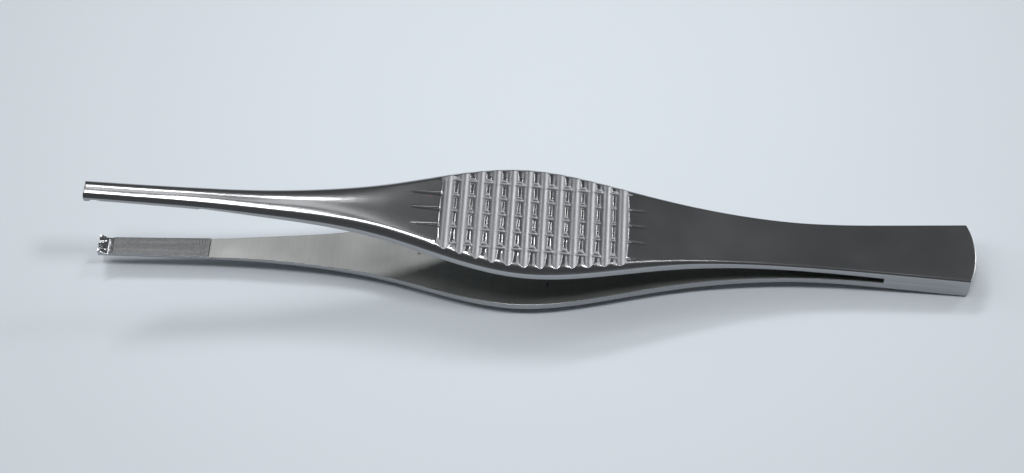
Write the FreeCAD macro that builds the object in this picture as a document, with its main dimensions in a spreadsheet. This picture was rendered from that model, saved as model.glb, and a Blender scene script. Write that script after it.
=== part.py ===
import FreeCAD, Part
import math
import os

# Thumb forceps with toothed jaws, tying platforms and a broad fluted grip.
# Two forged spring arms, alike but for their teeth, are welded at the heel.
# They are built about their own mid plane: X runs from the tips to the heel,
# Y across the width and Z away from the mid plane. At the end both arms are
# laid down together, so that they rest on the grip and heel of the lower arm.
# All sizes are millimetres.

# Stations along an arm, from the tips to the heel. Each has its distance from
# the tips, the arm's width, the opening between the two inner faces, the flat
# side wall beside the inner face, the radius of the rounded back edge, and the
# rise of the crowned back above that radius.
COLUMNS = ("from_tip", "width", "opening", "wall", "edge", "crown")
STATIONS = {
    "tip": (0.0, 4.2, 18.1, 0.35, 1.4, 0.15),
    "teeth": (5.0, 4.25, 17.7, 0.35, 1.4, 0.15),
    "jaw": (12.0, 4.4, 17.1, 0.35, 1.45, 0.15),
    "platform": (23.0, 4.8, 16.2, 0.35, 1.55, 0.2),
    "shank": (36.0, 6.1, 14.75, 0.4, 1.75, 0.25),
    "shoulder": (48.0, 8.45, 13.9, 0.5, 2.05, 0.35),
    "flare": (60.0, 12.9, 12.75, 0.65, 2.3, 0.35),
    "front": (72.0, 19.9, 11.3, 0.75, 2.3, 0.35),
    "grip": (88.0, 25.7, 9.3, 0.8, 2.2, 0.35),
    "back": (104.0, 21.5, 7.15, 0.95, 1.95, 0.35),
    "neck": (118.0, 15.4, 5.4, 1.35, 1.03, 0.22),
    "taper": (132.0, 11.9, 3.75, 1.2, 0.58, 0.12),
    "waist": (144.0, 11.0, 2.4, 1.12, 0.5, 0.08),
    "slot": (159.8, 12.1, 1.45, 1.41, 0.5, 0.04),
    "pad": (169.0, 13.2, 1.05, 1.64, 0.5, 0.03),
    "heel": (178.0, 14.3, 0.7, 1.83, 0.5, 0.02),
}
SIZES = {
    "edge_flats": (3, "narrow flats that make up each rounded back edge"),
    "platform_rise": (0.3, "step from the inner face up to the tying platform"),
    "platform_start": (3.2, "front edge of the tying platform from the tips"),
    "hollow_start": (1.9, "deepest line of the hollow behind the teeth"),
    "hollow_depth": (0.55, "depth of that hollow below the platform"),
    "nose_chamfer": (0.4, "bevel of the tip's outer corner"),
    "tooth_height": (0.8, "teeth above the platform"),
    "tooth_length": (0.45, "crest of the teeth along the jaw"),
    "tooth_pitch": (1.6, "spacing of the teeth across the jaw"),
    "tooth_gap": (1.35, "width of a notch between teeth at their crests"),
    "notch_depth": (1.15, "depth of a notch below the crests"),
    "flute_count": (12, "flutes across the grip"),
    "first_flute": (72.35, "middle of the first flute from the tips"),
    "flute_pitch": (3.18, "spacing of the flutes"),
    "flute_radius": (1.55, "hollow radius of a flute"),
    "flute_depth": (0.75, "depth of a flute at the middle of the back"),
    "cut_rows": (5, "lengthwise cuts over the flutes"),
    "cut_pitch": (3.95, "spacing of the lengthwise cuts"),
    "cut_depth": (0.6, "depth of a lengthwise cut at the middle of the grip"),
    "cut_angle": (94.0, "angle between the two sides of a cut, in degrees"),
    "cut_start": (65.1, "start of the inner lengthwise cuts from the tips"),
    "outer_start": (68.5, "start of the two outermost cuts from the tips"),
    "cut_end": (112.0, "end of the lengthwise cuts from the tips"),
    "cut_points": (9, "points that guide each cut along the back"),
    "heel_radius": (18.7, "radius of the rounded end of the heel in plan"),
    "rest_flat": (0.04, "depth of the small flats on which the lower arm rests"),
    "tool_clearance": (2.0, "how far each cutting shape runs past the metal"),
}
SHEET = "Sizes"


def fill_sheet(doc):
    """Write every driving size into a spreadsheet cell that has an alias."""
    sheet = doc.addObject("Spreadsheet::Sheet", SHEET)
    row = 1
    for name, values in STATIONS.items():
        for column, value in zip(COLUMNS, values):
            sheet.set(f"A{row}", f"{name} {column}")
            sheet.set(f"B{row}", str(value))
            sheet.setAlias(f"B{row}", f"{name}_{column}")
            row += 1
    for name, (value, meaning) in SIZES.items():
        sheet.set(f"A{row}", meaning)
        sheet.set(f"B{row}", str(value))
        sheet.setAlias(f"B{row}", name)
        row += 1
    doc.recompute()
    return sheet


def half_section(sheet, name):
    """Half width, wall top, edge radius and crown of one station."""
    half = getattr(sheet, name + "_width") / 2
    wall_top = getattr(sheet, name + "_opening") / 2 + getattr(sheet, name + "_wall")
    edge = getattr(sheet, name + "_edge")
    crown = getattr(sheet, name + "_crown")
    return half, wall_top, edge, crown


def section_wire(sheet, name):
    """Section of an arm from the mid plane outwards: two walls, two edges
    rounded by narrow flats, and a crowned back that is tangent to the round."""
    x = getattr(sheet, name + "_from_tip")
    half, wall_top, edge, crown = half_section(sheet, name)
    inset = half - edge
    top = wall_top + edge + crown
    crown_radius = (inset ** 2 + (edge + crown) ** 2 - edge ** 2) / (2 * crown)
    lean = math.atan2(wall_top - (top - crown_radius), inset)
    flats = int(sheet.edge_flats)

    def round_corners(side):
        corners = []
        for k in range(flats + 1):
            angle = lean * k / flats
            y = inset + edge * math.cos(angle)
            corners.append(FreeCAD.Vector(x, side * y, wall_top + edge * math.sin(angle)))
        return corners

    right = [FreeCAD.Vector(x, half, 0)] + round_corners(1)
    left = [FreeCAD.Vector(x, -half, 0)] + round_corners(-1)
    back = Part.Arc(right[-1], FreeCAD.Vector(x, 0, top), left[-1]).toShape()
    up = Part.makePolygon(right).Edges
    down = Part.makePolygon(list(reversed(left))).Edges
    return Part.Wire([Part.makeLine(left[0], right[0])] + up + [back] + down)


def add_blank(doc, sheet):
    """Solid outline of an arm, lofted through its stations, from the mid
    plane to the back."""
    blank = doc.addObject("Part::Feature", "blank")
    wires = [section_wire(sheet, name) for name in STATIONS]
    blank.Shape = Part.makeLoft(wires, True, False)
    return blank


def back_height(blank, x, y):
    """Height of the back of the blank above one point of the mid plane."""
    foot = FreeCAD.Vector(x, y, 0)
    above = FreeCAD.Vector(x, y, blank.Shape.BoundBox.ZMax)
    return blank.Shape.common(Part.makeLine(foot, above)).BoundBox.ZMax


def jaw_line(sheet):
    """Corners of the jaw seen from the side, from the platform's step to the
    tips: platform, hollow and teeth."""
    start = sheet.platform_start
    slope = (sheet.platform_opening - sheet.tip_opening) / 2
    slope = slope / (sheet.platform_from_tip - sheet.tip_from_tip)

    def platform(x):
        return sheet.tip_opening / 2 + slope * x

    crest = platform(0) - sheet.tooth_height
    step = FreeCAD.Vector(sheet.platform_from_tip, 0, platform(sheet.platform_from_tip))
    return [
        step,
        FreeCAD.Vector(start, 0, platform(start)),
        FreeCAD.Vector(sheet.hollow_start, 0, platform(start) + sheet.hollow_depth),
        FreeCAD.Vector(sheet.tooth_length, 0, crest),
        FreeCAD.Vector(-sheet.tool_clearance, 0, crest),
    ]


def inner_line(sheet):
    """Points of the inner face from the platform's step to the slot's end."""
    names = list(STATIONS)
    names = names[names.index("platform"):names.index("slot") + 1]
    points = []
    for name in names:
        x = getattr(sheet, name + "_from_tip")
        z = getattr(sheet, name + "_opening") / 2
        if name == "platform":
            z += sheet.platform_rise
        points.append(FreeCAD.Vector(x, 0, z))
    return points


def add_gap(doc, sheet):
    """The space between the mid plane and the inner face, which ends square
    at the weld of the heel."""
    inner = inner_line(sheet)
    curve = Part.BSplineCurve()
    curve.interpolate(list(reversed(inner)))
    slot = sheet.slot_from_tip
    front = FreeCAD.Vector(-sheet.tool_clearance, 0, 0)
    floor = [front, FreeCAD.Vector(slot, 0, 0), inner[-1]]
    jaw_side = [inner[0]] + jaw_line(sheet) + [front]
    edges = Part.makePolygon(floor).Edges + [curve.toShape()] + Part.makePolygon(jaw_side).Edges
    face = Part.Face(Part.Wire(edges))
    reach = sheet.grip_width
    face.translate(FreeCAD.Vector(0, -reach, 0))
    gap = doc.addObject("Part::Feature", "gap")
    gap.Shape = face.extrude(FreeCAD.Vector(0, 2 * reach, 0))
    return gap


def add_flutes(doc, sheet, blank):
    """Cylinders across the grip, sunk to the same depth in the curved back."""
    tools = []
    turned = FreeCAD.Rotation(FreeCAD.Vector(1, 0, 0), -90)
    for k in range(int(sheet.flute_count)):
        x = sheet.first_flute + k * sheet.flute_pitch
        z = back_height(blank, x, 0) - sheet.flute_depth + sheet.flute_radius
        tool = doc.addObject("Part::Cylinder", f"flute_{k + 1}")
        tool.setExpression("Radius", f"{SHEET}.flute_radius")
        tool.setExpression("Height", f"{SHEET}.grip_width + 2 * {SHEET}.tool_clearance")
        tool.Placement = FreeCAD.Placement(FreeCAD.Vector(x, 0, z), turned)
        tool.setExpression("Placement.Base.x", f"{SHEET}.first_flute + {k} * {SHEET}.flute_pitch")
        tool.setExpression("Placement.Base.y", f"-{SHEET}.grip_width / 2 - {SHEET}.tool_clearance")
        tools.append(tool)
    return group(doc, "flutes", tools)


def cut_path(sheet, blank, start, y):
    """Lowest line of one lengthwise cut. It follows the back at its own depth,
    which falls away to nothing at both ends with the cube of the distance."""
    end = sheet.cut_end
    middle = (start + end) / 2
    last = int(sheet.cut_points) - 1
    points = []
    for k in range(last + 1):
        x = start + (end - start) * k / last
        share = abs(x - middle) / (end - middle)
        depth = sheet.cut_depth * (1 - share ** 3)
        points.append(FreeCAD.Vector(x, y, back_height(blank, x, y) - depth))
    curve = Part.BSplineCurve()
    curve.interpolate(points)
    return Part.Wire(curve.toShape()), points[0]


def add_cuts(doc, sheet, blank):
    """Lengthwise V-shaped cuts that come up to the surface at both ends."""
    half = math.radians(sheet.cut_angle / 2)
    rise = sheet.tool_clearance
    wide = rise * math.tan(half)
    tools = []
    rows = int(sheet.cut_rows)
    for j in range(rows):
        y = (j - (rows - 1) / 2) * sheet.cut_pitch
        start = sheet.outer_start if j in (0, rows - 1) else sheet.cut_start
        path, root = cut_path(sheet, blank, start, y)
        corners = [root, root + FreeCAD.Vector(0, wide, rise), root + FreeCAD.Vector(0, -wide, rise), root]
        tool = doc.addObject("Part::Feature", f"cut_{j + 1}")
        tool.Shape = path.makePipeShell([Part.makePolygon(corners)], True, False)
        tools.append(tool)
    return group(doc, "cuts", tools)


def add_notches(doc, sheet, name, places):
    """V-shaped notches along the jaw that part its teeth."""
    crest = sheet.tip_opening / 2 - sheet.tooth_height
    half = sheet.tooth_gap / 2
    slope = half / sheet.notch_depth
    over = sheet.tooth_height
    wide = half + over * slope
    length = sheet.hollow_start + sheet.tool_clearance
    tools = []
    for k, y in enumerate(places):
        root = FreeCAD.Vector(-sheet.tool_clearance, y, crest + sheet.notch_depth)
        down = sheet.notch_depth + over
        corners = [root, root + FreeCAD.Vector(0, wide, -down), root + FreeCAD.Vector(0, -wide, -down), root]
        tool = doc.addObject("Part::Feature", f"{name}_{k + 1}")
        tool.Shape = Part.Face(Part.makePolygon(corners)).extrude(FreeCAD.Vector(length, 0, 0))
        tools.append(tool)
    return group(doc, name, tools)


def add_heel_end(doc, sheet):
    """What lies beyond the rounded end of the heel."""
    block = doc.addObject("Part::Box", "heel_block")
    block.setExpression("Length", f"{SHEET}.heel_radius")
    block.setExpression("Width", f"{SHEET}.heel_width + 2 * {SHEET}.tool_clearance")
    block.setExpression("Height", f"{SHEET}.tip_opening")
    block.setExpression("Placement.Base.x", f"{SHEET}.heel_from_tip - {SHEET}.heel_radius / 2")
    block.setExpression("Placement.Base.y", f"-{SHEET}.heel_width / 2 - {SHEET}.tool_clearance")
    block.setExpression("Placement.Base.z", f"-{SHEET}.tool_clearance")
    disc = doc.addObject("Part::Cylinder", "heel_disc")
    disc.setExpression("Radius", f"{SHEET}.heel_radius")
    disc.setExpression("Height", f"{SHEET}.tip_opening + 2 * {SHEET}.tool_clearance")
    disc.setExpression("Placement.Base.x", f"{SHEET}.heel_from_tip - {SHEET}.heel_radius")
    disc.setExpression("Placement.Base.z", f"-2 * {SHEET}.tool_clearance")
    return cut(doc, "heel_end", block, disc)


def add_nose(doc, sheet, blank):
    """Wedge that bevels the outer corner of the tip."""
    reach = sheet.nose_chamfer + sheet.tool_clearance
    top = back_height(blank, sheet.nose_chamfer, 0)
    width = sheet.tip_width + 2 * sheet.tool_clearance
    corner = FreeCAD.Vector(0, -width / 2, top)
    along = FreeCAD.Vector(reach, 0, reach)
    outer = FreeCAD.Vector(-sheet.tool_clearance, 0, reach)
    start = corner - FreeCAD.Vector(0, 0, sheet.nose_chamfer)
    low = start - FreeCAD.Vector(sheet.tool_clearance, 0, sheet.tool_clearance)
    corners = [low, start + along, corner + outer, low]
    nose = doc.addObject("Part::Feature", "nose")
    nose.Shape = Part.Face(Part.makePolygon(corners)).extrude(FreeCAD.Vector(0, width, 0))
    return nose


def add_table(doc, sheet):
    """What lies under the table top. It flattens the lower arm's back a little
    at the two places where the instrument rests."""
    table = doc.addObject("Part::Box", "table")
    table.setExpression("Length", f"{SHEET}.heel_from_tip + 2 * {SHEET}.tool_clearance")
    table.setExpression("Width", f"{SHEET}.grip_width + 2 * {SHEET}.tool_clearance")
    table.setExpression("Height", f"{SHEET}.tool_clearance")
    table.setExpression("Placement.Base.x", f"-{SHEET}.heel_from_tip / 2 - {SHEET}.tool_clearance")
    table.setExpression("Placement.Base.y", f"-{SHEET}.grip_width / 2 - {SHEET}.tool_clearance")
    table.setExpression("Placement.Base.z", f"-{SHEET}.tool_clearance")
    return table


def group(doc, name, tools):
    """One object that holds several cutting shapes."""
    compound = doc.addObject("Part::Compound", name)
    compound.Links = tools
    return compound


def cut(doc, name, base, tool):
    """Base less tool."""
    result = doc.addObject("Part::Cut", name)
    result.Base = base
    result.Tool = tool
    return result


def resting_place(sheet):
    """Turn and lift that lay the lower arm's back on the table: it touches at
    the heel and at the station of the grip that stands out furthest."""
    def low_point(name):
        half, wall_top, edge, crown = half_section(sheet, name)
        return getattr(sheet, name + "_from_tip"), wall_top + edge + crown

    heel_x, heel_z = low_point("heel")
    slopes = []
    for name in STATIONS:
        x, z = low_point(name)
        if name != "heel":
            slopes.append(math.atan2(z - heel_z, heel_x - x))
    turn = FreeCAD.Rotation(FreeCAD.Vector(0, 1, 0), math.degrees(max(slopes)))
    return FreeCAD.Placement(FreeCAD.Vector(0, 0, 0), turn)


def tight_box(arms):
    """Box that just holds both arms, measured on their exact surfaces."""
    return Part.makeCompound([arm.Shape for arm in arms]).optimalBoundingBox(False, False)


def check(doc, arms):
    """Stop if any object failed or an arm isn't one valid solid."""
    for item in doc.Objects:
        if "Invalid" in item.State or "Error" in item.State:
            raise RuntimeError(f"{item.Name} failed: {item.State}")
    for arm in arms:
        shape = arm.Shape
        if shape.isNull() or not shape.isValid() or len(shape.Solids) != 1:
            raise RuntimeError(f"{arm.Name} is not one valid solid")
        print(arm.Name, "volume", round(shape.Volume, 1), "faces", len(shape.Faces))


def main():
    doc = FreeCAD.newDocument("forceps")
    sheet = fill_sheet(doc)
    blank = add_blank(doc, sheet)
    gap = add_gap(doc, sheet)
    flutes = add_flutes(doc, sheet, blank)
    cuts = add_cuts(doc, sheet, blank)
    heel_end = add_heel_end(doc, sheet)
    nose = add_nose(doc, sheet, blank)
    open_arm = cut(doc, "open_arm", blank, gap)
    fluted_arm = cut(doc, "fluted_arm", open_arm, flutes)
    scored_arm = cut(doc, "scored_arm", fluted_arm, cuts)
    round_heeled = cut(doc, "round_heeled_arm", scored_arm, heel_end)
    plain_arm = cut(doc, "plain_arm", round_heeled, nose)
    pitch = sheet.tooth_pitch
    upper_notches = add_notches(doc, sheet, "upper_notches", (-pitch, 0, pitch))
    lower_notches = add_notches(doc, sheet, "lower_notches", (-pitch / 2, pitch / 2))
    upper = cut(doc, "upper_arm", plain_arm, upper_notches)
    toothed = cut(doc, "three_tooth_arm", plain_arm, lower_notches)
    mirrored = doc.addObject("Part::Mirroring", "mirrored_arm")
    mirrored.Source = toothed
    mirrored.Normal = FreeCAD.Vector(0, 0, 1)
    doc.recompute()

    place = resting_place(sheet)
    halves = [upper, mirrored]
    for half in halves:
        half.Placement = place
    doc.recompute()
    box = tight_box(halves)
    middle = FreeCAD.Vector(-box.Center.x, -box.Center.y, -box.ZMin - sheet.rest_flat)
    for half in halves:
        half.Placement = FreeCAD.Placement(middle, place.Rotation)
    lower = cut(doc, "lower_arm", mirrored, add_table(doc, sheet))
    doc.recompute()
    arms = [upper, lower]
    check(doc, arms)
    os.makedirs("parts", exist_ok=True)
    for arm in arms:
        arm.Shape.exportStep(f"parts/{arm.Name}.step")
    high = box.ZLength - sheet.rest_flat
    print("size", round(box.XLength, 2), round(box.YLength, 2), round(high, 2))
    print("turned", round(math.degrees(place.Rotation.Angle), 4), "shifted", middle)


main()
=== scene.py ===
import math

import bpy
import numpy as np
from mathutils import Matrix, Vector


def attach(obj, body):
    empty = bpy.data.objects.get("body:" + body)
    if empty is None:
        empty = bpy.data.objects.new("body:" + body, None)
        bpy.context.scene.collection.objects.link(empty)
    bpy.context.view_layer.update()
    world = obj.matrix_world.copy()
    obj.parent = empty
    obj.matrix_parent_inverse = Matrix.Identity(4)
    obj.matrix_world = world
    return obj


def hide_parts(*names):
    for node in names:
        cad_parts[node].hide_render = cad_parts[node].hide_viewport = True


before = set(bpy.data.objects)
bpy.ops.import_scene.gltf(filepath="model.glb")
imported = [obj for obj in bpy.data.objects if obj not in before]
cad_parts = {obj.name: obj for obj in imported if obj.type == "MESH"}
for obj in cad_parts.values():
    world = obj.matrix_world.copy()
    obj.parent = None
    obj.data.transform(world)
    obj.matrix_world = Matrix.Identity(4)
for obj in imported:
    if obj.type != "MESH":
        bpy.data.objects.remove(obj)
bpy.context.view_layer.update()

# Toothed thumb forceps lying on a pale table. Each arm is one closed surface,
# worked out in millimetres in the instrument's own frame: x from the tips to
# the heel, y across the width, z away from the mid plane between the two arms.
# The lower arm is the same surface mirrored in the mid plane. Both are then
# turned and shifted to where the instrument rests, and scaled to metres.
MM = 0.001
REST_TURN = math.radians(3.428244)
REST_SHIFT = (-88.606308, 0.0, 13.302744)

# From the tips, width, opening between the arms, side wall, edge radius, crown.
STATIONS = np.array([
    (0.0, 4.2, 18.1, 0.35, 1.4, 0.15),
    (5.0, 4.25, 17.7, 0.35, 1.4, 0.15),
    (12.0, 4.4, 17.1, 0.35, 1.45, 0.15),
    (23.0, 4.8, 16.2, 0.35, 1.55, 0.2),
    (36.0, 6.1, 14.75, 0.4, 1.75, 0.25),
    (48.0, 8.45, 13.9, 0.5, 2.05, 0.35),
    (60.0, 12.9, 12.75, 0.65, 2.3, 0.35),
    (72.0, 19.9, 11.3, 0.75, 2.3, 0.35),
    (88.0, 25.7, 9.3, 0.8, 2.2, 0.35),
    (104.0, 21.5, 7.15, 0.95, 1.95, 0.35),
    (118.0, 15.4, 5.4, 1.35, 1.03, 0.22),
    (132.0, 11.9, 3.75, 1.2, 0.58, 0.12),
    (144.0, 11.0, 2.4, 1.12, 0.5, 0.08),
    (159.8, 12.1, 1.45, 1.41, 0.5, 0.04),
    (169.0, 13.2, 1.05, 1.64, 0.5, 0.03),
    (178.0, 14.3, 0.7, 1.83, 0.5, 0.02),
])
PLATFORM_END, SLOT_END, LENGTH = 23.0, 159.8, 178.0
PLATFORM_RISE, PLATFORM_START = 0.3, 3.2
HOLLOW_START, HOLLOW_DEPTH = 1.9, 0.55
NOSE_CHAMFER = 0.4
TOOTH_HEIGHT, TOOTH_LENGTH, TOOTH_PITCH = 0.8, 0.45, 1.6
TOOTH_GAP, NOTCH_DEPTH = 1.35, 1.15
HATCH_PITCH, HATCH_DEPTH, HATCH_ANGLE = 0.5, 0.06, math.radians(52)
HATCH_FRONT_MARGIN, HATCH_MARGIN, HATCH_FADE = 0.3, 0.2, 0.15
FLUTES, FIRST_FLUTE, FLUTE_PITCH = 12, 72.35, 3.18
FLUTE_RADIUS, FLUTE_DEPTH = 1.55, 0.75
CUT_ROWS, CUT_PITCH, CUT_DEPTH = 5, 3.95, 0.6
CUT_HALF_ANGLE = math.radians(47)
CUT_START, OUTER_START, CUT_END = 65.1, 68.5, 112.0
HEEL_RADIUS = 18.7
INNER_BEVEL, WELD_BEVEL, BEVEL_EASE = 0.1, 0.01, 0.3
EASED_EDGE = 0.06
TIP_BEVEL, HEEL_BEVEL = 0.05, 0.16
# A height above everything, for where nothing is cut.
NO_CUT = 99.0

# How far apart the columns of a surface stand: on the teeth, from there to the
# hollow, up to the platform, on it, at the ends of the lengthwise cuts, on the
# shank and the heel, and on the neck.
TOOTH_STEP, HOLLOW_STEP, SHELF_STEP, PLATFORM_STEP = 0.08, 0.11, 0.15, 0.145
CUT_END_STEP, PLAIN_STEP, NECK_STEP = 0.28, 0.8, 0.9
# Columns that stand close to a crease or a step, how far off the next ones are,
# and where the columns begin to follow the heel's rounded end.
TOOTH_CREASE, CREASE = 0.04, 0.05
STEP_SIDES = np.array([-0.06, -0.005, 0.005, 0.06])
STEP_MARGIN, HEEL_MARGIN, HEEL_CLOSE = 0.3, 0.4, 0.02
HEEL_BEND_START = SLOT_END + 2.0
# A flute's columns, its least half width as a share of its radius, and the
# largest share of half a land that an eased edge takes.
FLUTE_STEPS, LEAST_FLUTE, LAND_SHARE = 11, 0.3, 0.3


def natural_spline(knots, values):
    """Cubic through the given points, with no bend at either end: the bends at
    the knots solve the usual three-term equations, and each span is a cubic
    between its two bends."""
    count = len(knots)
    gap = np.diff(knots)
    rise = np.diff(values) / gap
    system = np.eye(count)
    inner = np.arange(1, count - 1)
    system[inner, inner - 1] = gap[:-1]
    system[inner, inner] = 2 * (gap[:-1] + gap[1:])
    system[inner, inner + 1] = gap[1:]
    right = np.zeros(count)
    right[inner] = 6 * np.diff(rise)
    bend = np.linalg.solve(system, right)

    def curve(x):
        k = np.clip(np.searchsorted(knots, x) - 1, 0, count - 2)
        a = (knots[k + 1] - x) / gap[k]
        b = 1 - a
        swell = (a ** 3 - a) * bend[k] + (b ** 3 - b) * bend[k + 1]
        return a * values[k] + b * values[k + 1] + swell * gap[k] ** 2 / 6

    return curve


FROM_TIP = STATIONS[:, 0]
half_width = natural_spline(FROM_TIP, STATIONS[:, 1] / 2)
wall_top = natural_spline(FROM_TIP, STATIONS[:, 2] / 2 + STATIONS[:, 3])
edge_radius = natural_spline(FROM_TIP, STATIONS[:, 4])
crown_rise = natural_spline(FROM_TIP, STATIONS[:, 5])


def inner_curve():
    """Height of the inner face behind the platform, through the openings."""
    rows = (FROM_TIP >= PLATFORM_END) & (FROM_TIP <= SLOT_END)
    heights = STATIONS[rows, 2] / 2
    heights[0] += PLATFORM_RISE
    return natural_spline(FROM_TIP[rows], heights)


inner_height = inner_curve()


def crown_circle(x):
    """Centre height and radius of the crowned back, a circle tangent to both
    edge rounds, and the angle at which it meets them."""
    edge, crown = edge_radius(x), crown_rise(x)
    inset = half_width(x) - edge
    top = wall_top(x) + edge + crown
    radius = (inset ** 2 + (edge + crown) ** 2 - edge ** 2) / (2 * crown)
    lean = np.arctan2(wall_top(x) - top + radius, inset)
    return top - radius, radius, lean


def crown_height(x, y):
    """Height of the crowned back, before anything is cut into it."""
    centre, radius, _ = crown_circle(x)
    return centre + np.sqrt(np.maximum(radius ** 2 - y ** 2, 0))


def back_surface(x, y):
    """Height of the smooth back: the crown, and beyond it the edge round."""
    edge = edge_radius(x)
    past = np.clip(np.abs(y) - half_width(x) + edge, 0, edge)
    round_off = wall_top(x) + np.sqrt(edge ** 2 - past ** 2)
    return np.where(past > 0, round_off, crown_height(x, y))


def cut_depth(x, outer):
    """Depth of a lengthwise cut, which falls away to nothing at both ends with
    the cube of the distance from its middle."""
    start = np.where(outer, OUTER_START, CUT_START)
    middle = (start + CUT_END) / 2
    share = np.abs(x - middle) / (CUT_END - middle)
    return CUT_DEPTH * (1 - share ** 3)


def cut_root(x, y_row):
    """Lowest line of a lengthwise cut. Nothing is cut past its ends."""
    depth = cut_depth(x, abs(y_row) > 1.5 * CUT_PITCH)
    return np.where(depth > 0, back_surface(x, y_row) - depth, NO_CUT)


def cut_surface(x, y):
    """Height of the nearest lengthwise V-cut above a point."""
    rows = (np.arange(CUT_ROWS) - (CUT_ROWS - 1) / 2) * CUT_PITCH
    heights = [cut_root(x, row) + np.abs(y - row) / math.tan(CUT_HALF_ANGLE) for row in rows]
    return np.minimum.reduce(heights)


def flute_surface(x):
    """Height of the nearest flute, a cylinder that lies across the grip."""
    k = np.clip(np.round((x - FIRST_FLUTE) / FLUTE_PITCH), 0, FLUTES - 1)
    middle = FIRST_FLUTE + k * FLUTE_PITCH
    centre = crown_height(middle, 0.0) - FLUTE_DEPTH + FLUTE_RADIUS
    away = np.abs(x - middle)
    sunk = centre - np.sqrt(np.maximum(FLUTE_RADIUS ** 2 - away ** 2, 0))
    return np.where(away < FLUTE_RADIUS, sunk, NO_CUT)


# Rows of the back, from the middle line out to the edge round. Each crown row
# is a sum of these places: cut lines 1 and 2, the edge round, and the half
# widths of the cuts on lines 0, 1 and 2.
WALL_ROWS = 3
CUT_STEPS = (-1.0, -0.5, 0.0, 0.5, 1.0)
# Where the arm is narrow, cut lines 1 and 2 and the half widths of the cuts
# keep to these shares of the way to the edge round.
LINE_SHARES = (0.72, 0.93)
LEAST_CUT, MOST_CUT, CUT_SHARE = 0.02, 0.65, 0.06
# The edge round of radius 1: its first rows across and up, then where the arc
# starts, and how many rows it has in all.
EDGE_FOOT = np.array([(1.0, 0.0), (1.0, 0.27), (0.975, 0.325)])
EDGE_START = math.radians(35)
ARC_ROWS = 11


def crown_weights():
    """Weights of the crown rows, from the middle line outwards."""
    rows = [(0, 0, 0, t, 0, 0) for t in CUT_STEPS[2:]]
    for f in np.arange(1, 6) / 6:
        rows.append((f, 0, 0, 1 - f, -f, 0))
    rows += [(1, 0, 0, 0, t, 0) for t in CUT_STEPS]
    for f in np.arange(1, 6) / 6:
        rows.append((1 - f, f, 0, 0, 1 - f, -f))
    rows += [(0, 1, 0, 0, 0, t) for t in CUT_STEPS]
    for f in np.arange(1, 4) / 4:
        rows.append((0, 1 - f, f, 0, 0, 1 - f))
    return np.array(rows, float)


def edge_profile(lean):
    """Edge round of radius 1, row by row from its foot: the side wall runs on
    up, a short slope turns in, and from EDGE_START the rest is the arc."""
    rows = ARC_ROWS - len(EDGE_FOOT)
    arc = EDGE_START + (lean - EDGE_START) * np.arange(rows) / (rows - 1)
    foot = np.broadcast_to(EDGE_FOOT, (len(lean), *EDGE_FOOT.shape))
    across = np.hstack([foot[..., 0], np.cos(arc)])
    return across, np.hstack([foot[..., 1], np.sin(arc)])


CROWN_WEIGHTS = crown_weights()
CROWN_ROWS = 2 * len(CROWN_WEIGHTS) - 1
TOP_ROWS = CROWN_ROWS + 2 * ARC_ROWS


def crown_places(x):
    """Distances from the middle line of the crown rows at each x, which keep
    to the lengthwise cuts wherever the arm is wide enough."""
    inset = half_width(x) - edge_radius(x)
    line1 = np.minimum(CUT_PITCH, LINE_SHARES[0] * inset)
    line2 = np.minimum(2 * CUT_PITCH, LINE_SHARES[1] * inset)
    places = [line1, line2, inset]
    for row in (0.0, CUT_PITCH, 2 * CUT_PITCH):
        half = cut_depth(x, row > CUT_PITCH) * math.tan(CUT_HALF_ANGLE)
        places.append(np.clip(half, LEAST_CUT, np.minimum(CUT_SHARE * inset, MOST_CUT)))
    return np.stack(places, axis=-1)


def top_rows(x):
    """Distance across and smooth height of every row from the foot of one edge
    round, over the crown, to the foot of the other. x has one column per row."""
    edge, foot = edge_radius(x), wall_top(x)
    inset = half_width(x) - edge
    lean = crown_circle(x)[2]
    weights = np.zeros((TOP_ROWS, CROWN_WEIGHTS.shape[1]))
    outward = CROWN_WEIGHTS[::-1]
    weights[ARC_ROWS:ARC_ROWS + len(outward)] = outward
    weights[ARC_ROWS + len(outward) - 1:TOP_ROWS - ARC_ROWS] = -CROWN_WEIGHTS
    y = np.sum(crown_places(x) * weights, axis=-1)
    z = crown_height(x, y)
    across, up = edge_profile(lean[:, :1])
    right, left = slice(0, ARC_ROWS), slice(TOP_ROWS - ARC_ROWS, None)
    y[:, right] = inset[:, right] + edge[:, right] * across
    z[:, right] = foot[:, right] + edge[:, right] * up
    across, up = edge_profile(lean[:, -1:])
    y[:, left] = -inset[:, left] - edge[:, left] * across[:, ::-1]
    z[:, left] = foot[:, left] + edge[:, left] * up[:, ::-1]
    return y, z


def flute_halves():
    """Half width of each flute on every top row: where its cylinder comes up
    through the back, or through the cut that crosses it there."""
    middles = (FIRST_FLUTE + FLUTE_PITCH * np.arange(FLUTES))[:, None]
    x = np.repeat(middles, TOP_ROWS, axis=1)
    y, z = top_rows(x)
    floor = crown_height(x, 0.0) - FLUTE_DEPTH
    depth = np.maximum(np.minimum(z, cut_surface(x, y)) - floor, 0)
    half = np.sqrt(depth * (2 * FLUTE_RADIUS - depth))
    return np.maximum(half, LEAST_FLUTE * FLUTE_RADIUS)


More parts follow.
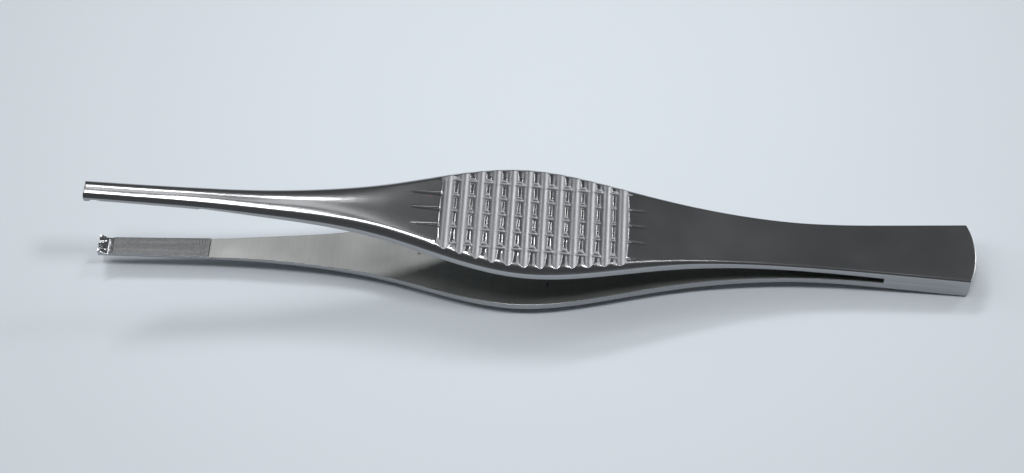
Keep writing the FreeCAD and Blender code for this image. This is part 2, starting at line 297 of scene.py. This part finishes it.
def flute_columns():
    """Columns of the grip, one block per flute. Beside each edge of a flute
    stand two close columns, which keep that edge crisp but eased."""
    half = flute_halves()
    land = FLUTE_PITCH / 2 - half
    ease = np.minimum(EASED_EDGE, LAND_SHARE * land)
    hollow = np.arcsin((half - ease) / FLUTE_RADIUS)
    offsets = [np.full_like(half, -FLUTE_PITCH / 2), -half - ease, -half]
    for t in np.linspace(-1, 1, FLUTE_STEPS):
        offsets.append(FLUTE_RADIUS * np.sin(hollow * t))
    offsets += [half, half + ease]
    middles = (FIRST_FLUTE + FLUTE_PITCH * np.arange(FLUTES))[:, None]
    blocks = np.stack([middles + offset for offset in offsets], axis=1)
    return blocks.reshape(-1, TOP_ROWS)


def plain_columns():
    """Places of the columns before and behind the flutes, closer together
    round the teeth, the platform's ends, the slot's end and the heel's end."""
    def run(start, end, step):
        return np.linspace(start, end, max(2, round((end - start) / step) + 1))[:-1]

    grip_start = FIRST_FLUTE - FLUTE_PITCH / 2
    grip_end = grip_start + FLUTES * FLUTE_PITCH
    front = np.concatenate([
        run(0.0, TOOTH_LENGTH - TOOTH_CREASE, TOOTH_STEP),
        run(TOOTH_LENGTH - TOOTH_CREASE, TOOTH_LENGTH + TOOTH_CREASE, TOOTH_CREASE),
        run(TOOTH_LENGTH + TOOTH_CREASE, HOLLOW_START - CREASE, HOLLOW_STEP),
        run(HOLLOW_START - CREASE, HOLLOW_START + CREASE, CREASE),
        run(HOLLOW_START + CREASE, PLATFORM_START - CREASE, SHELF_STEP),
        run(PLATFORM_START - CREASE, PLATFORM_START + CREASE, CREASE),
        run(PLATFORM_START + CREASE, PLATFORM_END + STEP_SIDES[0], PLATFORM_STEP),
        PLATFORM_END + STEP_SIDES,
        run(PLATFORM_END + STEP_MARGIN, CUT_START - STEP_MARGIN, PLAIN_STEP),
        run(CUT_START - STEP_MARGIN, grip_start, CUT_END_STEP),
    ])
    rear = np.concatenate([
        run(grip_end, CUT_END + STEP_MARGIN, CUT_END_STEP),
        run(CUT_END + STEP_MARGIN, SLOT_END - STEP_MARGIN, NECK_STEP),
        SLOT_END + STEP_SIDES,
        run(SLOT_END + STEP_MARGIN, LENGTH - HEEL_MARGIN, PLAIN_STEP),
        LENGTH - np.array([HEEL_MARGIN, HEEL_BEVEL + HEEL_CLOSE, HEEL_BEVEL, 0.0]),
    ])
    return front, rear


def end_line(y):
    """Place of the heel's rounded end at each distance from the middle line."""
    return LENGTH - HEEL_RADIUS + np.sqrt(HEEL_RADIUS ** 2 - y ** 2)


def bend_to_end(x, y):
    """Moves the last columns so that they follow the heel's rounded end."""
    share = np.clip((x - HEEL_BEND_START) / (LENGTH - HEEL_BEND_START), 0, 1)
    bent = HEEL_BEND_START + share * (end_line(y) - HEEL_BEND_START)
    return np.where(x > HEEL_BEND_START, bent, x)


def jaw_height(x, y, notches):
    """Height of the inner face: teeth with V notches between them, the hollow
    behind, the sloping platform, its step, the plain face and the weld."""
    opening = STATIONS[0, 2] / 2
    slope = (STATIONS[3, 2] - STATIONS[0, 2]) / 2 / PLATFORM_END
    platform = opening + slope * x
    crest = opening - TOOTH_HEIGHT
    shelf = opening + slope * PLATFORM_START
    marks = np.array([0.0, TOOTH_LENGTH, HOLLOW_START, PLATFORM_START])
    front = np.interp(x, marks, np.array([crest, crest, shelf + HOLLOW_DEPTH, shelf]))
    for place in notches:
        rise = NOTCH_DEPTH * (1 - np.abs(y - place) * 2 / TOOTH_GAP)
        front = np.where(x < HOLLOW_START, np.maximum(front, crest + rise), front)
    z = np.where(x < PLATFORM_START, front, platform)
    z = np.where(x > PLATFORM_END, inner_height(x), z)
    return np.where(x > SLOT_END, 0.0, z)


def hatching(x, y):
    """Depth of the crossed grooves of the platform, two sets of parallel
    rounded lines that fade out at the platform's border."""
    across = x * math.sin(HATCH_ANGLE)
    along = y * math.cos(HATCH_ANGLE)
    lines = [np.cos(math.tau * (across + s * along) / HATCH_PITCH) for s in (-1, 1)]
    groove = (0.5 + 0.5 * np.maximum(lines[0], lines[1])) ** 2
    front, rear = PLATFORM_START + HATCH_FRONT_MARGIN, PLATFORM_END - HATCH_MARGIN
    border = np.minimum(x - front, rear - x)
    border = np.minimum(border, half_width(x) - np.abs(y) - HATCH_MARGIN)
    return HATCH_DEPTH * groove * np.clip(border / HATCH_FADE, 0, 1)


# A point this far under the smooth back is ground, and a face is ground when
# more than this share of its corners are.
GROUND_DEPTH, GROUND_SHARE = 0.01, 0.45
# How far a row of faces may pass the platform's ends and still belong to it.
PLATFORM_MARGIN = 0.01


def arm_surface(notches):
    """Closed surface of one arm. Its rings run up one side wall, over the
    back, down the other wall and back across the inner face; the columns are
    the rings' places from the tips to the heel."""
    front, rear = plain_columns()
    grip = flute_columns()
    x_top = np.vstack([
        np.repeat(front[:, None], TOP_ROWS, axis=1), grip,
        np.repeat(rear[:, None], TOP_ROWS, axis=1),
    ])
    y, _ = top_rows(x_top)
    x_top = bend_to_end(x_top, y)
    y, smooth = top_rows(x_top)
    flute, cut = flute_surface(x_top), cut_surface(x_top, y)
    nose = crown_height(NOSE_CHAMFER, 0.0) - NOSE_CHAMFER + x_top
    z = np.minimum.reduce([smooth, flute, cut, nose])
    grip_middle = FIRST_FLUTE + FLUTE_PITCH * (FLUTES - 1) / 2
    on_grip = np.abs(x_top - grip_middle) <= FLUTE_PITCH * FLUTES / 2
    ground = ((np.minimum(flute, cut) < smooth - GROUND_DEPTH) & on_grip).astype(float)
    bevel = np.where(x_top[:, :1] < SLOT_END, INNER_BEVEL, WELD_BEVEL)

    x_in = x_top[:, ::-1]
    y_in = y[:, ::-1] * (1 - bevel / half_width(x_in))
    z_in = jaw_height(x_in, y_in, notches)
    hatched = (x_in > PLATFORM_START) & (x_in < PLATFORM_END)
    z_in = z_in + np.where(hatched, hatching(x_in, y_in), 0)

    def brink(side):
        if side > 0:
            return x_top[:, :1], z_in[:, -1:]
        return x_top[:, -1:], z_in[:, :1]

    def wall(side):
        edge, foot = brink(side)
        share = np.arange(WALL_ROWS) / WALL_ROWS
        share = share if side > 0 else share[::-1]
        low = foot + bevel
        xs = np.repeat(edge, WALL_ROWS, axis=1)
        ys = np.full_like(xs, side) * half_width(edge)
        return xs, ys, low + (wall_top(edge) - low) * share

    def eased(side):
        edge, foot = brink(side)
        across = side * (half_width(edge) - BEVEL_EASE * bevel)
        return edge, across, foot + BEVEL_EASE * bevel

    parts = [wall(1), (x_top, y, z), wall(-1), eased(-1), (x_in, y_in, z_in), eased(1)]
    ring = np.stack([np.hstack([part[n] for part in parts]) for n in range(3)], axis=-1)
    return ease_ends(ring), ground


def ease_ends(ring):
    """Draws the first and last rings in a little: the tip's eased edge and the
    bevel round the heel's end."""
    middle = (ring.max(axis=1, keepdims=True) + ring.min(axis=1, keepdims=True)) / 2
    for at, reach in ((0, TIP_BEVEL), (-1, HEEL_BEVEL)):
        away = ring[at] - middle[at]
        size = np.abs(away).max(axis=0)
        ring[at, :, 1:] -= (away * reach / np.maximum(size, reach))[:, 1:]
    return ring


def ring_faces(columns, rows):
    """Quads of a closed tube of rings, and the two end caps: quads between the
    back and the inner face, with one polygon at each side wall."""
    grid = np.arange(columns * rows).reshape(columns, rows)
    near, far = grid[:-1], grid[1:]
    quads = np.stack([near, np.roll(near, -1, 1), np.roll(far, -1, 1), far], axis=-1)
    caps, sides = [], []
    top = WALL_ROWS + np.arange(TOP_ROWS)
    inner = rows - 2 - np.arange(TOP_ROWS)
    for ring, flip in ((grid[0], True), (grid[-1], False)):
        cap = np.stack([ring[top[:-1]], ring[inner[:-1]], ring[inner[1:]], ring[top[1:]]], axis=-1)
        right = np.concatenate([ring[[rows - 2, rows - 1]], ring[:WALL_ROWS + 1]])
        left_rows = WALL_ROWS + TOP_ROWS - 1 + np.arange(WALL_ROWS + 3)
        left = ring[left_rows]
        caps.append(cap[:, ::-1] if flip else cap)
        sides += [right[::-1], left[::-1]] if flip else [right, left]
    return quads.reshape(-1, 4), np.vstack(caps), sides


def lay_down(points, side):
    """From the instrument's own frame in millimetres to metres at rest. What
    would reach under the table top is flattened."""
    x, y, z = points[:, 0], points[:, 1], points[:, 2] * side
    turned = np.stack([
        x * math.cos(REST_TURN) + z * math.sin(REST_TURN), y,
        z * math.cos(REST_TURN) - x * math.sin(REST_TURN),
    ], axis=-1)
    laid = turned + np.array(REST_SHIFT)
    laid[:, 2] = np.maximum(laid[:, 2], 0)
    return laid * MM


def face_zones(ground, columns, rows, x_row):
    """Material of each tube quad: 0 back, 1 ground flutes and cuts, 2 side
    walls, eased edges and teeth, 3 inner face, 4 hatched platform."""
    zone = np.zeros((columns - 1, rows), int)
    row = np.arange(rows)
    wall_rows = (row < WALL_ROWS) | (row >= WALL_ROWS + TOP_ROWS - 1)
    zone[:, wall_rows] = 2
    first_inner = 2 * WALL_ROWS + TOP_ROWS + 1
    zone[:, first_inner:rows - 2] = 3
    cells = (ground[:-1, :-1] + ground[1:, :-1] + ground[:-1, 1:] + ground[1:, 1:]) / 4
    block = zone[:, WALL_ROWS:WALL_ROWS + TOP_ROWS - 1]
    block[cells > GROUND_SHARE] = 1
    after_start = x_row[:-1] > PLATFORM_START - PLATFORM_MARGIN
    before_end = x_row[1:] < PLATFORM_END + PLATFORM_MARGIN
    platform = after_start & before_end
    inner = (zone == 3).any(axis=0)
    zone[np.ix_(platform, inner)] = 4
    zone[np.ix_(x_row[1:] < PLATFORM_START, inner)] = 2
    return zone.reshape(-1)


def make_arm(name, notches, side, materials):
    """One arm as a mesh with its zones. side is 1 above the mid plane and -1
    below it, where the faces are turned round to point outwards."""
    ring, ground = arm_surface(notches)
    columns, rows = ring.shape[:2]
    quads, caps, sides = ring_faces(columns, rows)
    zones = face_zones(ground, columns, rows, ring[:, 0, 0])
    points = lay_down(ring.reshape(-1, 3), side)
    faces = quads.tolist() + caps.tolist() + [f.tolist() for f in sides]
    if side < 0:
        faces = [face[::-1] for face in faces]
    mesh = bpy.data.meshes.new(name)
    mesh.from_pydata(points.tolist(), [], faces)
    for material in materials:
        mesh.materials.append(material)
    index = np.full(len(faces), 2)
    index[:len(zones)] = zones
    mesh.polygons.foreach_set("material_index", index)
    smooth = np.ones(len(faces), bool)
    smooth[len(quads):] = False
    mesh.polygons.foreach_set("use_smooth", smooth)
    mesh.validate()
    mesh.update()
    piece = bpy.data.objects.new(name, mesh)
    bpy.context.scene.collection.objects.link(piece)
    return piece


def node(tree, kind, **values):
    """Adds a shader node and sets its properties and inputs by name."""
    made = tree.nodes.new(kind)
    for key, value in values.items():
        if hasattr(made, key):
            setattr(made, key, value)
        else:
            made.inputs[key.replace("_", " ")].default_value = value
    return made


PATCH_SCALE, RELIEF_DEPTH = 90.0, 0.00002


def steel(name, colour, spread, rough, rough_spread, grain, bump):
    """Satin steel: a metal whose colour and roughness drift in soft patches,
    under fine brush lines that are drawn out along the direction of grain."""
    material = bpy.data.materials.new(name)
    material.use_nodes = True
    tree = material.node_tree
    shader = tree.nodes["Principled BSDF"]
    shader.inputs["Metallic"].default_value = 1.0
    place = node(tree, "ShaderNodeTexCoord")
    stretched = node(tree, "ShaderNodeMapping", Scale=grain)
    tree.links.new(place.outputs["Object"], stretched.inputs["Vector"])
    lines = node(tree, "ShaderNodeTexNoise", Scale=1.0, Detail=3.0, Roughness=0.6)
    tree.links.new(stretched.outputs["Vector"], lines.inputs["Vector"])
    patches = node(tree, "ShaderNodeTexNoise", Scale=PATCH_SCALE, Detail=4.0, Roughness=0.55)
    tree.links.new(place.outputs["Object"], patches.inputs["Vector"])
    both = node(tree, "ShaderNodeMath", operation="ADD")
    tree.links.new(lines.outputs["Fac"], both.inputs[0])
    tree.links.new(patches.outputs["Fac"], both.inputs[1])
    tone = node(tree, "ShaderNodeMapRange", From_Min=0.6, From_Max=1.4, To_Min=-spread, To_Max=spread)
    tree.links.new(both.outputs["Value"], tone.inputs["Value"])
    shade = node(tree, "ShaderNodeMath", operation="ADD")
    shade.inputs[0].default_value = 1.0
    tree.links.new(tone.outputs["Result"], shade.inputs[1])
    tint = node(tree, "ShaderNodeMix", data_type="RGBA", blend_type="MULTIPLY")
    tint.inputs["Factor"].default_value = 1.0
    tint.inputs["A"].default_value = (*colour, 1.0)
    tree.links.new(shade.outputs["Value"], tint.inputs["B"])
    tree.links.new(tint.outputs["Result"], shader.inputs["Base Color"])
    gloss = node(tree, "ShaderNodeMapRange", From_Min=0.3, From_Max=0.7)
    gloss.inputs["To Min"].default_value = rough - rough_spread
    gloss.inputs["To Max"].default_value = rough + rough_spread
    tree.links.new(patches.outputs["Fac"], gloss.inputs["Value"])
    tree.links.new(gloss.outputs["Result"], shader.inputs["Roughness"])
    relief = node(tree, "ShaderNodeBump", Strength=bump, Distance=RELIEF_DEPTH)
    tree.links.new(lines.outputs["Fac"], relief.inputs["Height"])
    tree.links.new(relief.outputs["Normal"], shader.inputs["Normal"])
    return material


def add_spot(material, place, reach, colour):
    """A small soft-edged mark on a finish, an ellipsoid of colour round a
    place in metres. reach is its half size each way, and the colour fades out
    across its border."""
    tree = material.node_tree
    shader = tree.nodes["Principled BSDF"]
    plain = shader.inputs["Base Color"].links[0].from_socket
    where = node(tree, "ShaderNodeTexCoord")
    away = node(tree, "ShaderNodeMapping")
    away.inputs["Location"].default_value = [-p / r for p, r in zip(place, reach)]
    away.inputs["Scale"].default_value = [1 / r for r in reach]
    tree.links.new(where.outputs["Object"], away.inputs["Vector"])
    far = node(tree, "ShaderNodeVectorMath", operation="LENGTH")
    tree.links.new(away.outputs["Vector"], far.inputs[0])
    share = node(tree, "ShaderNodeMapRange", From_Min=1.2, From_Max=0.7)
    tree.links.new(far.outputs["Value"], share.inputs["Value"])
    mix = node(tree, "ShaderNodeMix", data_type="RGBA")
    mix.inputs["B"].default_value = (*colour, 1.0)
    tree.links.new(share.outputs["Result"], mix.inputs["Factor"])
    tree.links.new(plain, mix.inputs["A"])
    tree.links.new(mix.outputs["Result"], shader.inputs["Base Color"])


def arm_materials():
    """The finishes of the real arms, in the order of the zones, with a small dark tick on the inner
    face, and the dark speck and the pale smudge that the real ones carry."""
    back = steel(
        "satin back", (0.385, 0.39, 0.4), spread=0.05, rough=0.2, rough_spread=0.02,
        grain=(60, 2600, 2600), bump=0.25)
    flutes = steel(
        "ground flutes", (0.31, 0.315, 0.33), spread=0.06, rough=0.46, rough_spread=0.05,
        grain=(900, 900, 900), bump=0.3)
    edges = steel(
        "polished edges", (0.41, 0.415, 0.43), spread=0.04, rough=0.22, rough_spread=0.02,
        grain=(60, 1800, 1800), bump=0.15)
    inner = steel(
        "matt inner face", (0.26, 0.266, 0.262), spread=0.07, rough=0.5, rough_spread=0.05,
        grain=(2200, 80, 80), bump=0.35)
    platform = steel(
        "hatched platform", (0.15, 0.153, 0.156), spread=0.3, rough=0.5, rough_spread=0.06,
        grain=(1500, 1500, 1500), bump=0.4)
    dark_tick = (0.0039, -0.0078, 0.00343)
    speck = (-0.0227, -0.0005, 0.00335)
    smudge = (-0.0194, 0.0029, 0.0184)
    # A small dark tick drawn as colour on the lower arm's inner face.
    add_spot(inner, dark_tick, (0.00012, 0.0006, 0.001), (0.03, 0.03, 0.045))
    add_spot(inner, speck, (0.00035, 0.00022, 0.001), (0.08, 0.07, 0.07))
    add_spot(back, smudge, (0.0005, 0.0003, 0.001), (0.55, 0.42, 0.42))
    return [back, flutes, edges, inner, platform]


# The table's reach, the painted pool of light on it, and the table's colours in and out of that
# painted light.
TABLE_REACH, LIGHT_POOL_MIDDLE, LIGHT_POOL_RADIUS = 3.0, (0.004, 0.04, 0.0), 0.22
TABLE_IN_PAINTED_LIGHT, TABLE_OUT_OF_PAINTED_LIGHT = (0.75, 0.81, 0.87, 1), (0.54, 0.585, 0.63, 1)


def make_floor():
    """The pale, slightly blue table, with a painted pool of light that makes it a little brighter
    round the instrument.
    """
    mesh = bpy.data.meshes.new("table")
    corners = [(x * TABLE_REACH, y * TABLE_REACH, 0) for x, y in ((-1, -1), (1, -1), (1, 1), (-1, 1))]
    mesh.from_pydata(corners, [], [(0, 1, 2, 3)])
    floor = bpy.data.objects.new("table", mesh)
    bpy.context.scene.collection.objects.link(floor)
    material = bpy.data.materials.new("pale table with painted light pool")
    material.use_nodes = True
    tree = material.node_tree
    shader = tree.nodes["Principled BSDF"]
    place = node(tree, "ShaderNodeTexCoord")
    away = node(tree, "ShaderNodeVectorMath", operation="DISTANCE")
    away.inputs[1].default_value = LIGHT_POOL_MIDDLE
    tree.links.new(place.outputs["Object"], away.inputs[0])
    # Painted light: the table's colour fades from the lit pool's colour to a dimmer one away from the
    # pool's middle.
    painted_light_falloff = node(tree, "ShaderNodeMapRange", interpolation_type="SMOOTHSTEP", From_Max=LIGHT_POOL_RADIUS)
    tree.links.new(away.outputs["Value"], painted_light_falloff.inputs["Value"])
    tone = node(tree, "ShaderNodeMix", data_type="RGBA")
    tone.inputs["A"].default_value = TABLE_IN_PAINTED_LIGHT
    tone.inputs["B"].default_value = TABLE_OUT_OF_PAINTED_LIGHT
    tree.links.new(painted_light_falloff.outputs["Result"], tone.inputs["Factor"])
    tree.links.new(tone.outputs["Result"], shader.inputs["Base Color"])
    shader.inputs["Roughness"].default_value = 0.7
    mesh.materials.append(material)


LIGHT_DISTANCE = 2.6


def soft_light(name, bearing, height, size, brightness):
    """A rectangular soft light that faces the instrument. Bearing is counted
    from the far side towards the heel, height above the table, in degrees.
    The power grows with the light's area, so that brightness stays as given."""
    lamp = bpy.data.lights.new(name, "AREA")
    lamp.shape = "RECTANGLE"
    lamp.size, lamp.size_y = size
    lamp.energy = brightness * math.pi * size[0] * size[1]
    turn, lift = math.radians(bearing), math.radians(height)
    away = Vector((math.sin(turn) * math.cos(lift), math.cos(turn) * math.cos(lift), math.sin(lift)))
    holder = bpy.data.objects.new(name, lamp)
    holder.location = away * LIGHT_DISTANCE
    holder.rotation_euler = away.to_track_quat("Z", "Y").to_euler()
    bpy.context.scene.collection.objects.link(holder)


def make_lights():
    """A wide window on the far side with a faint glow and a skylight above it,
    lamps on the right and overhead, and pale walls on the left and the right."""
    soft_light("window", -29, 48, (1.25, 0.26), 17.5)
    soft_light("window glow", -33, 57, (0.9, 0.5), 0.8)
    soft_light("skylight", -22, 67, (0.4, 0.8), 1.3)
    soft_light("right lamp", 97, 57, (0.45, 0.42), 27.0)
    soft_light("right rear lamp", 45, 41, (0.3, 0.3), 14.0)
    soft_light("ceiling lamp", -150, 80, (0.6, 0.55), 13.0)
    soft_light("left wall", -84, 47, (1.28, 1.15), 1.9)
    soft_light("left far wall", -75, 22, (1.29, 1.15), 2.0)
    soft_light("right wall", 52, 38, (0.9, 0.78), 2.0)
    world = bpy.data.worlds.new("room")
    bpy.context.scene.world = world
    world.use_nodes = True
    world.node_tree.nodes["Background"].inputs["Color"].default_value = (0.1, 0.103, 0.106, 1)


# The camera's turns, aim and distance in the instrument's own frame, and its
# lens: focal length and picture width in pixels, sensor width in millimetres.
CAMERA_YAW, CAMERA_LIFT, CAMERA_ROLL = (math.radians(turn) for turn in (-2.766, 54.0, -0.499))
CAMERA_TARGET, CAMERA_DISTANCE = Vector((85.292, 0.563, 0.0)), 425.16
FOCAL_PIXELS, PICTURE_PIXELS, SENSOR_WIDTH = 2105.3, 1024, 36.0


def make_camera():
    """The camera of the photograph: looking down from the near side."""
    yaw, lift, roll = CAMERA_YAW, CAMERA_LIFT, CAMERA_ROLL
    forward = Vector((math.sin(yaw) * math.cos(lift), math.cos(yaw) * math.cos(lift), -math.sin(lift)))
    right = Vector((math.cos(yaw), -math.sin(yaw), 0))
    down = forward.cross(right)
    level = math.cos(roll) * right + math.sin(roll) * down
    down = -math.sin(roll) * right + math.cos(roll) * down
    turn = Matrix.Rotation(REST_TURN, 3, "Y")
    lens = bpy.data.cameras.new("camera")
    lens.sensor_width = SENSOR_WIDTH
    lens.lens = FOCAL_PIXELS / PICTURE_PIXELS * SENSOR_WIDTH
    lens.clip_start, lens.clip_end = 0.01, 20
    eye = bpy.data.objects.new("camera", lens)
    place = (turn @ (CAMERA_TARGET - forward * CAMERA_DISTANCE) + Vector(REST_SHIFT)) * MM
    axes = Matrix((turn @ level, turn @ -down, turn @ -forward)).transposed()
    eye.matrix_world = Matrix.Translation(place) @ axes.to_4x4()
    bpy.context.scene.collection.objects.link(eye)
    bpy.context.scene.camera = eye


finishes = arm_materials()
upper_notches = (-TOOTH_PITCH, 0.0, TOOTH_PITCH)
lower_notches = (-TOOTH_PITCH / 2, TOOTH_PITCH / 2)
for cad_node, notches, side in (("upper_arm", upper_notches, 1), ("lower_arm", lower_notches, -1)):
    arm = make_arm("steel_" + cad_node, notches, side, finishes)
    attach(arm, "root")
    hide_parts(cad_node)
    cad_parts[cad_node].data.materials.clear()
    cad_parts[cad_node].data.materials.append(finishes[0])

make_floor()
make_lights()
make_camera()
bpy.context.scene.view_settings.view_transform = "Standard"
